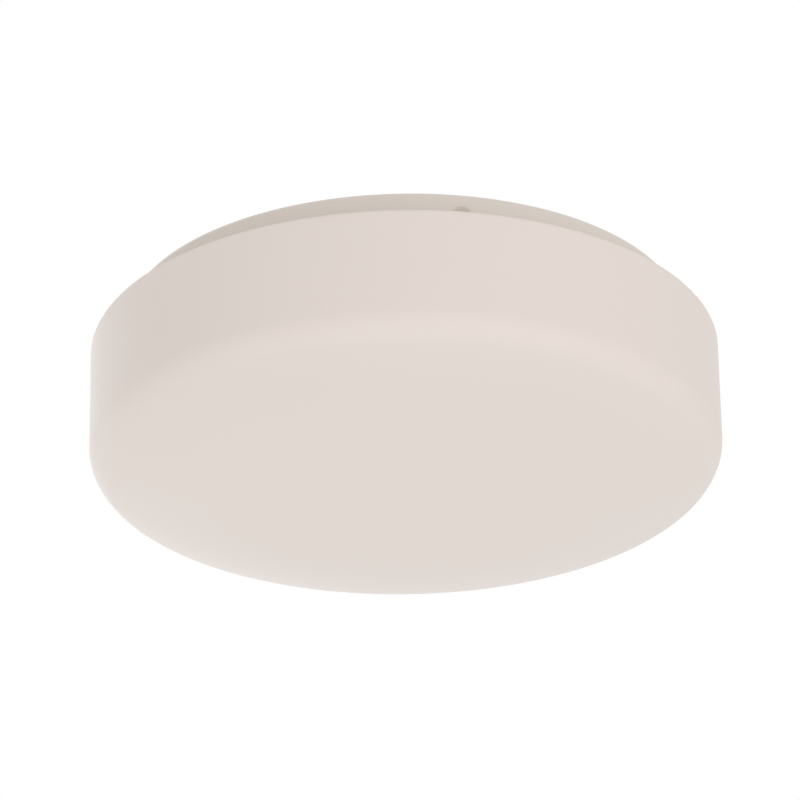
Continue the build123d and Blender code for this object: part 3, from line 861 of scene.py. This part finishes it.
def pan_cutters(size):
    """Cutters for the ceiling screws, the pillars' spigots, the terminal fixings and the earth screw."""
    small = bpy.context.scene.light_small
    pillar_high = box_of("tray_pillars")[1]
    fixing_low, fixing_high = box_of("terminal_fixings")
    earth_low, earth_high = box_of("earth_screw")
    row = (fixing_low.y + fixing_high.y) / 2
    slot_reach = size.slot_length - size.slot_width

    cutters = []
    for side in (-1, 1):
        cutters.append(hole_cutter((side * size.slot_spacing / 2, 0, 0), size.slot_width / 2, slot_reach))
        fixing = (side * (fixing_high.x - small.m3_head), row, 0)
        cutters.append(hole_cutter(fixing, small.m3_radius + small.hole_gap))
    for place in ring_spots(small.pillar_count, pillar_high.y - small.pillar_flats / 2, TURN / 4):
        cutters.append(hole_cutter(place, small.spigot_radius + small.hole_gap))
    earth = ((earth_low.x + earth_high.x) / 2, row, 0)
    cutters.append(hole_cutter(earth, small.m4_radius + small.hole_gap))
    return joined(cutters, "pan_cutters")


def build_pan():
    """The pan: spun, dimpled, given its sheet's thickness and pierced."""
    size = bpy.context.scene.light_pan
    dense = 2 * size.dimple_arc
    dense_steps = 28
    plain_steps = 57
    sectors = [(dense, dense_steps), (TURN / size.dimple_count - dense, plain_steps)] * size.dimple_count
    pan = spin_section("pan", pan_section(size), sectors, size.dimple_turn - size.dimple_arc)
    for turn in dimple_turns(size):
        press_dimple(pan, size, turn)
    apply_modifier(pan, "SOLIDIFY", thickness=size.sheet, offset=-1.0, use_even_offset=True)
    carve(pan, pan_cutters(size))
    smooth(pan)
    dress(pan, "base", "white_enamel", "base_pan")


# Seal and bushes

def build_seal():
    """The seal: a soft ring with rounded edges and a groove along its middle."""
    shade = bpy.context.scene.light_shade
    inner = shade.neck_radius - shade.wall + SEAL_GAP
    outer = seal_high.x
    middle = (inner + outer) / 2
    groove = 0.35 * MM
    edge = 0.3 * MM
    corners = [
        (inner, seal_low.z),
        (outer, seal_low.z),
        (outer, seal_high.z),
        (middle + 2 * groove, seal_high.z),
        (middle, seal_high.z - groove),
        (middle - 2 * groove, seal_high.z),
        (inner, seal_high.z),
    ]
    seal = spin_section("rim_seal", rounded_loop(corners, edge), [(TURN, 180)])
    smooth(seal)
    dress(seal, "seal", "clear_silicone", "shade_seal")


def build_bush(name, node, bore):
    """A moulded rubber bush with rounded flanges and a flared bore."""
    small = bpy.context.scene.light_small
    low, high = box_of(node)
    middle = (low + high) / 2
    flange = high.x - middle.x
    waist = flange - small.bush_flange - small.hole_gap
    corners = [
        (bore, low.z),
        (flange, low.z),
        (flange, low.z + small.bush_lip),
        (waist, low.z + small.bush_lip),
        (waist, high.z - small.bush_lip),
        (flange, high.z - small.bush_lip),
        (flange, high.z),
        (bore, high.z),
    ]
    sheet = high.z - low.z - 2 * small.bush_lip
    edge = 0.3 * sheet
    bush = spin_section(name, rounded_loop(corners, edge), [(TURN, 64)], middle=middle.xy)
    smooth(bush)
    dress(bush, "base", "black_rubber", node)


# Screws

def threaded_shank(radius, pitch, low, high):
    """A threaded shank between two heights, cut square at both ends."""
    depth = 0.6 * pitch
    root = radius - depth
    spare_turns = 3
    start = low - spare_turns / 2 * pitch
    # Radii along one pitch, each at its share of the pitch
    profile = ((root, 0), (radius, 0.38), (radius, 0.5), (root, 0.88), (root, 1))
    shank = draw_line("shank", [Vector((r, 0, start + share * pitch)) for r, share in profile])
    turns = math.ceil((high - low) / pitch) + spare_turns
    apply_modifier(
        shank, "SCREW", axis="Z", angle=TURN, screw_offset=pitch, iterations=turns, steps=24,
        render_steps=24, use_merge_vertices=True, merge_threshold=NEAR,
    )
    close_up(shank)
    slice_off(shank, (0, 0, high), (0, 0, 1))
    slice_off(shank, (0, 0, low), (0, 0, -1))
    close_up(shank)
    return shank


def pan_head_screw(name, thread, seat, tip):
    """A cross-recessed screw on the light's axis, with its head beyond its seat."""
    size = bpy.context.scene.light_small
    radius = getattr(size, thread + "_radius")
    head = getattr(size, thread + "_head")
    height = getattr(size, thread + "_head_height")
    outwards = 1 if tip < seat else -1
    crown = seat + outwards * height
    middle = (0, 0, (seat + crown) / 2)
    crown_round = 0.5 * height
    taper = 0.6
    settle()
    bpy.ops.mesh.primitive_cylinder_add(vertices=40, radius=head, depth=height, location=middle)
    screw = added(name)
    pick_points(screw, lambda co: abs(co.z - crown) < NEAR)
    bpy.ops.mesh.bevel(offset=crown_round, segments=5, affect="EDGES")
    settle()
    for arm in ((head, size.recess_width), (size.recess_width, head)):
        bpy.ops.mesh.primitive_cube_add(size=1, location=(0, 0, crown), scale=(*arm, 2 * size.recess_depth))
        recess = added("recess")
        pick_points(recess, lambda co: (co.z - crown) * outwards < 0)
        bpy.ops.transform.resize(value=(taper, taper, 1), center_override=(0, 0, crown))
        settle()
        carve(screw, recess)
    sunk = 0.2 * height
    end = seat + outwards * sunk
    shank = threaded_shank(radius, getattr(size, thread + "_pitch"), min(tip, end), max(tip, end))
    carve(screw, shank, "UNION")
    return screw


def build_screws(name, node, thread, slot, places, head_up=False):
    """Screws of one kind at their places, each turned differently."""
    size = bpy.context.scene.light_small
    low, high = box_of(node)
    height = getattr(size, thread + "_head_height")
    seat = high.z - height if head_up else low.z + height
    screw = pan_head_screw(name, thread, seat, low.z if head_up else high.z)
    screws = repeated(screw, [(place, GOLDEN_TURN * step) for step, place in enumerate(places)])
    smooth(screws, degrees=30.0)
    dress(screws, "base", slot, node)


def build_all_screws():
    """Tray, board, driver, terminal and earth screws."""
    size = bpy.context.scene.light_small
    tray = box_of("tray_screws")[1].y - size.m4_head
    board = box_of("board_screws")[1].x - size.m3_head
    tray_spots = ring_spots(size.pillar_count, tray, TURN / 4)
    board_spots = ring_spots(size.board_screw_count, board)
    build_screws("m4_tray_screws", "tray_screws", "m4", "zinc_steel", tray_spots)
    build_screws("m3_board_screws", "board_screws", "m3", "zinc_steel", board_spots)
    for name, node, head_up in (
        ("m3_driver_screws", "driver_screws", True),
        ("m3_terminal_screws", "terminal_fixings", False),
    ):
        low, high = box_of(node)
        row = (low.y + high.y) / 2
        places = [Vector((side * (high.x - size.m3_head), row, 0)) for side in (-1, 1)]
        build_screws(name, node, "m3", "zinc_steel", places, head_up)
    low, high = box_of("earth_screw")
    middle = Vector(((low.x + high.x) / 2, (low.y + high.y) / 2, 0))
    build_screws("m4_earth_screw", "earth_screw", "m4", "brass", [middle])


# Light sources and earth lead

def build_chips():
    """The light sources: white packages, each with a sunk window of phosphor."""
    size = bpy.context.scene.light_small
    low, high = box_of("led_chips")
    edge_round = 0.12 * MM
    rim_width = 0.25 * MM
    window_slope = 0.12 * MM
    window_depth = 0.15 * MM
    settle()
    bpy.ops.mesh.primitive_cube_add(
        size=1, location=(0, 0, (low.z + high.z) / 2), scale=(size.led_width, size.led_length, high.z - low.z)
    )
    chip = added("led_packages")
    apply_modifier(chip, "BEVEL", width=edge_round, segments=2, limit_method="ANGLE")
    pick_points(chip, lambda co: co.z < low.z + NEAR)
    bpy.ops.mesh.inset(thickness=rim_width)
    bpy.ops.mesh.inset(thickness=window_slope, depth=-window_depth)
    settle()

    spots = []
    for ring in range(size.led_rings):
        total = size.led_inner_count * (size.led_rings - ring)
        radius = board_high.x - size.led_margin - ring * size.led_pitch
        half_step = TURN / total / 2
        places = ring_spots(total, radius, half_step)
        spots += [(place, half_step + TURN * step / total) for step, place in enumerate(places)]
    chips = repeated(chip, spots)
    dress(chips, "base", "led_phosphor", "led_chips")
    chips.data.materials.append(finish("board_white"))
    window_level = low.z + window_depth / 2
    for face in chips.data.polygons:
        faces_down = face.normal.z < -0.9
        in_window = faces_down and face.center.z > window_level
        face.material_index = 0 if in_window else 1


def build_earth_lead():
    """The earth lead, from its terminal to the tag on the pan."""
    small = bpy.context.scene.light_small
    tag_low, tag_high = box_of("earth_tag")
    block_low, block_high = box_of("terminal_barrels")
    pole_inset = 2.9 * MM
    barrel_depth = 5.0 * MM
    crimp_rise = 1.9 * MM
    barrel_height = (block_low.z + block_high.z) / 2
    start = Vector((block_high.x - pole_inset, block_low.y + barrel_depth, barrel_height))
    crimp = Vector(((tag_low.x + tag_high.x) / 2, tag_low.y, tag_low.z + crimp_rise))
    route = [
        start,
        start - Vector((0, 10.0 * MM, 0)),
        start + Vector((1.5 * MM, -20.8 * MM, 0.3 * MM)),
        crimp + Vector((-5.0 * MM, -10.7 * MM, -0.5 * MM)),
        crimp + Vector((0, -5.2 * MM, 0)),
        crimp + Vector((0, 0.8 * MM, 0)),
        crimp + Vector((0, 5.0 * MM, 0)),
    ]
    settle()
    curve = bpy.data.curves.new("striped_earth_lead", "CURVE")
    curve.dimensions = "3D"
    curve.bevel_depth = small.lead_radius
    curve.bevel_resolution = 6
    curve.use_fill_caps = True
    spline = curve.splines.new("NURBS")
    spline.points.add(len(route) - 1)
    for point, place in zip(spline.points, route):
        point.co = (*place, 1)
    spline.order_u = 3
    spline.use_endpoint_u = True
    spline.resolution_u = 16
    lead = bpy.data.objects.new("striped_earth_lead", curve)
    bpy.context.scene.collection.objects.link(lead)
    focus(lead)
    bpy.ops.object.convert(target="MESH")
    lead = bpy.context.object
    close_up(lead)
    smooth(lead)
    dress(lead, "base", "earth_pvc", "earth_lead")


# The stage

# Each lamp's turn from the camera's side and rise, in degrees, its power in watts and its tint
LAMPS = {
    "under": (-35, -70, 7.2, (0.96, 0.98, 1.0)),
    "key": (35, -15, 9.45, (0.99, 1.0, 1.0)),
    "rim": (-150, 10, 14.4, (0.87, 0.94, 1.0)),
    "back": (170, 5, 5.0, (0.70, 0.86, 1.0)),
}


def white_to_view(tree, shader, output):
    """Shows plain white to the camera and to reflections, and the given shader to everything else."""
    path = node_at(tree, "ShaderNodeLightPath")
    seen = path.outputs["Is Camera Ray"]
    for ray in ("Is Glossy Ray", "Is Transmission Ray"):
        either = node_at(tree, "ShaderNodeMath")
        either.operation = "MAXIMUM"
        tree.links.new(seen, either.inputs[0])
        wire(tree, path, ray, either, 1)
        seen = either.outputs[0]
    white = node_at(tree, "ShaderNodeEmission")
    mix = node_at(tree, "ShaderNodeMixShader")
    tree.links.new(seen, mix.inputs["Fac"])
    wire(tree, shader, 0, mix, 1)
    wire(tree, white, "Emission", mix, 2)
    wire(tree, mix, "Shader", tree.nodes[output], "Surface")


def build_floor(size):
    """The pale floor of the room, far under the light."""
    settle()
    bpy.ops.mesh.primitive_plane_add(size=size.floor_size, location=(0, 0, size.floor_height))
    floor = added("floor")
    material, tree, shader = start_finish("pale_floor")
    shader.inputs["Base Color"].default_value = (*size.floor_tone, 1)
    shader.inputs["Roughness"].default_value = 0.8
    white_to_view(tree, shader, "Material Output")
    floor.data.materials.append(material)


def build_world(size):
    """Even light from all round, which the camera and reflections see as white."""
    world = bpy.data.worlds.new("studio")
    world.use_nodes = True
    tree = world.node_tree
    background = tree.nodes["Background"]
    background.inputs["Color"].default_value = (1, 1, 1, 1)
    background.inputs["Strength"].default_value = size.ambient
    white_to_view(tree, background, "World Output")
    bpy.context.scene.world = world


def add_lamp(size, name, turn, rise, power, tint):
    """A square soft lamp that faces the light, from a turn and a rise in degrees."""
    settle()
    turn = math.radians(turn)
    rise = math.radians(rise)
    away = Vector((math.sin(turn) * math.cos(rise), -math.cos(turn) * math.cos(rise), math.sin(rise)))
    place = Vector(size.view_middle) + away * size.lamp_distance
    bpy.ops.object.light_add(type="AREA", location=place)
    lamp = bpy.context.object
    lamp.name = name
    lamp.data.size = size.lamp_size
    lamp.data.energy = power
    lamp.data.color = tint
    lamp.rotation_euler = away.to_track_quat("Z", "Y").to_euler()
    lamp.visible_camera = False


def build_camera(size):
    """The camera, under the light and looking up at it."""
    settle()
    up_angle = size.view_angle
    back = Vector((0, -math.cos(up_angle), -math.sin(up_angle)))
    place = Vector(size.view_middle) + back * size.view_distance
    forward = (Vector(size.view_aim) - place).normalized()
    right = forward.cross(UP).normalized()
    up = right.cross(forward)
    lean = size.view_roll
    leaning_right = right * math.cos(lean) - up * math.sin(lean)
    leaning_up = right * math.sin(lean) + up * math.cos(lean)
    bpy.ops.object.camera_add()
    camera = bpy.context.object
    axes = Matrix((leaning_right, leaning_up, -forward)).transposed()
    camera.matrix_world = Matrix.Translation(place) @ axes.to_4x4()
    camera.data.lens = size.lens
    bpy.context.scene.camera = camera


def build_stage():
    """Floor, world, lamps and camera."""
    size = bpy.context.scene.light_stage
    build_floor(size)
    build_world(size)
    for name, values in LAMPS.items():
        add_lamp(size, name, *values)
    build_camera(size)
    bpy.context.scene.view_settings.view_transform = "Standard"


# Add-on

class LIGHT_OT_finishes(bpy.types.Operator):
    """Give every engineering piece its finish"""

    bl_idname = "ceiling_light.finishes"
    bl_label = "Finishes"

    def execute(self, context):
        finish_carried_pieces()
        return {"FINISHED"}


class LIGHT_OT_shade(bpy.types.Operator):
    """Model the opal glass shade"""

    bl_idname = "ceiling_light.shade"
    bl_label = "Opal shade"

    def execute(self, context):
        build_shade()
        return {"FINISHED"}


class LIGHT_OT_pan(bpy.types.Operator):
    """Model the pressed steel pan"""

    bl_idname = "ceiling_light.pan"
    bl_label = "Base pan"

    def execute(self, context):
        build_pan()
        return {"FINISHED"}


class LIGHT_OT_rubber(bpy.types.Operator):
    """Model the seal and the rubber bushes"""

    bl_idname = "ceiling_light.rubber"
    bl_label = "Seal and bushes"

    def execute(self, context):
        small = context.scene.light_small
        build_seal()
        build_bush("supply_bush", "cable_grommet", small.cable_bore)
        build_bush("led_bush", "lead_bush", small.led_bore)
        return {"FINISHED"}


class LIGHT_OT_screws(bpy.types.Operator):
    """Model the threaded screws"""

    bl_idname = "ceiling_light.screws"
    bl_label = "Screws"

    def execute(self, context):
        build_all_screws()
        return {"FINISHED"}


class LIGHT_OT_chips(bpy.types.Operator):
    """Model the light sources on the LED board"""

    bl_idname = "ceiling_light.chips"
    bl_label = "Light sources"

    def execute(self, context):
        build_chips()
        return {"FINISHED"}


class LIGHT_OT_earth_lead(bpy.types.Operator):
    """Model the striped earth lead"""

    bl_idname = "ceiling_light.earth_lead"
    bl_label = "Earth lead"

    def execute(self, context):
        build_earth_lead()
        return {"FINISHED"}


class LIGHT_OT_stage(bpy.types.Operator):
    """Set up the floor, light and camera"""

    bl_idname = "ceiling_light.stage"
    bl_label = "Stage"

    def execute(self, context):
        build_stage()
        return {"FINISHED"}


OPERATORS = (
    LIGHT_OT_finishes,
    LIGHT_OT_shade,
    LIGHT_OT_pan,
    LIGHT_OT_rubber,
    LIGHT_OT_screws,
    LIGHT_OT_chips,
    LIGHT_OT_earth_lead,
    LIGHT_OT_stage,
)
SETTINGS = {
    "light_shade": LightShadeSizes,
    "light_pan": LightPanSizes,
    "light_small": LightSmallSizes,
    "light_finish": LightFinishColours,
    "light_stage": LightStageSizes,
}


class LIGHT_PT_panel(bpy.types.Panel):
    """Lists the pieces of the ceiling light"""

    bl_idname = "LIGHT_PT_panel"
    bl_label = "Ceiling light"
    bl_space_type = "VIEW_3D"
    bl_region_type = "UI"
    bl_category = "Ceiling light"

    def draw(self, context):
        for operator in OPERATORS:
            self.layout.operator(operator.bl_idname)
        for setting, group in SETTINGS.items():
            column = self.layout.column(align=True)
            for name in group.__annotations__:
                column.prop(getattr(context.scene, setting), name)


def register():
    """Adds the settings, operators and panel to Blender."""
    for setting, group in SETTINGS.items():
        bpy.utils.register_class(group)
        setattr(bpy.types.Scene, setting, PointerProperty(type=group))
    for kind in (*OPERATORS, LIGHT_PT_panel):
        bpy.utils.register_class(kind)


def unregister():
    """Takes the panel, operators and settings out again."""
    for kind in (LIGHT_PT_panel, *reversed(OPERATORS)):
        bpy.utils.unregister_class(kind)
    for setting, group in reversed(SETTINGS.items()):
        delattr(bpy.types.Scene, setting)
        bpy.utils.unregister_class(group)


def main():
    """Builds every piece in order."""
    register()
    bpy.ops.ceiling_light.finishes()
    bpy.ops.ceiling_light.shade()
    bpy.ops.ceiling_light.pan()
    bpy.ops.ceiling_light.rubber()
    bpy.ops.ceiling_light.screws()
    bpy.ops.ceiling_light.chips()
    bpy.ops.ceiling_light.earth_lead()
    bpy.ops.ceiling_light.stage()


if __name__ == "__main__":
    main()
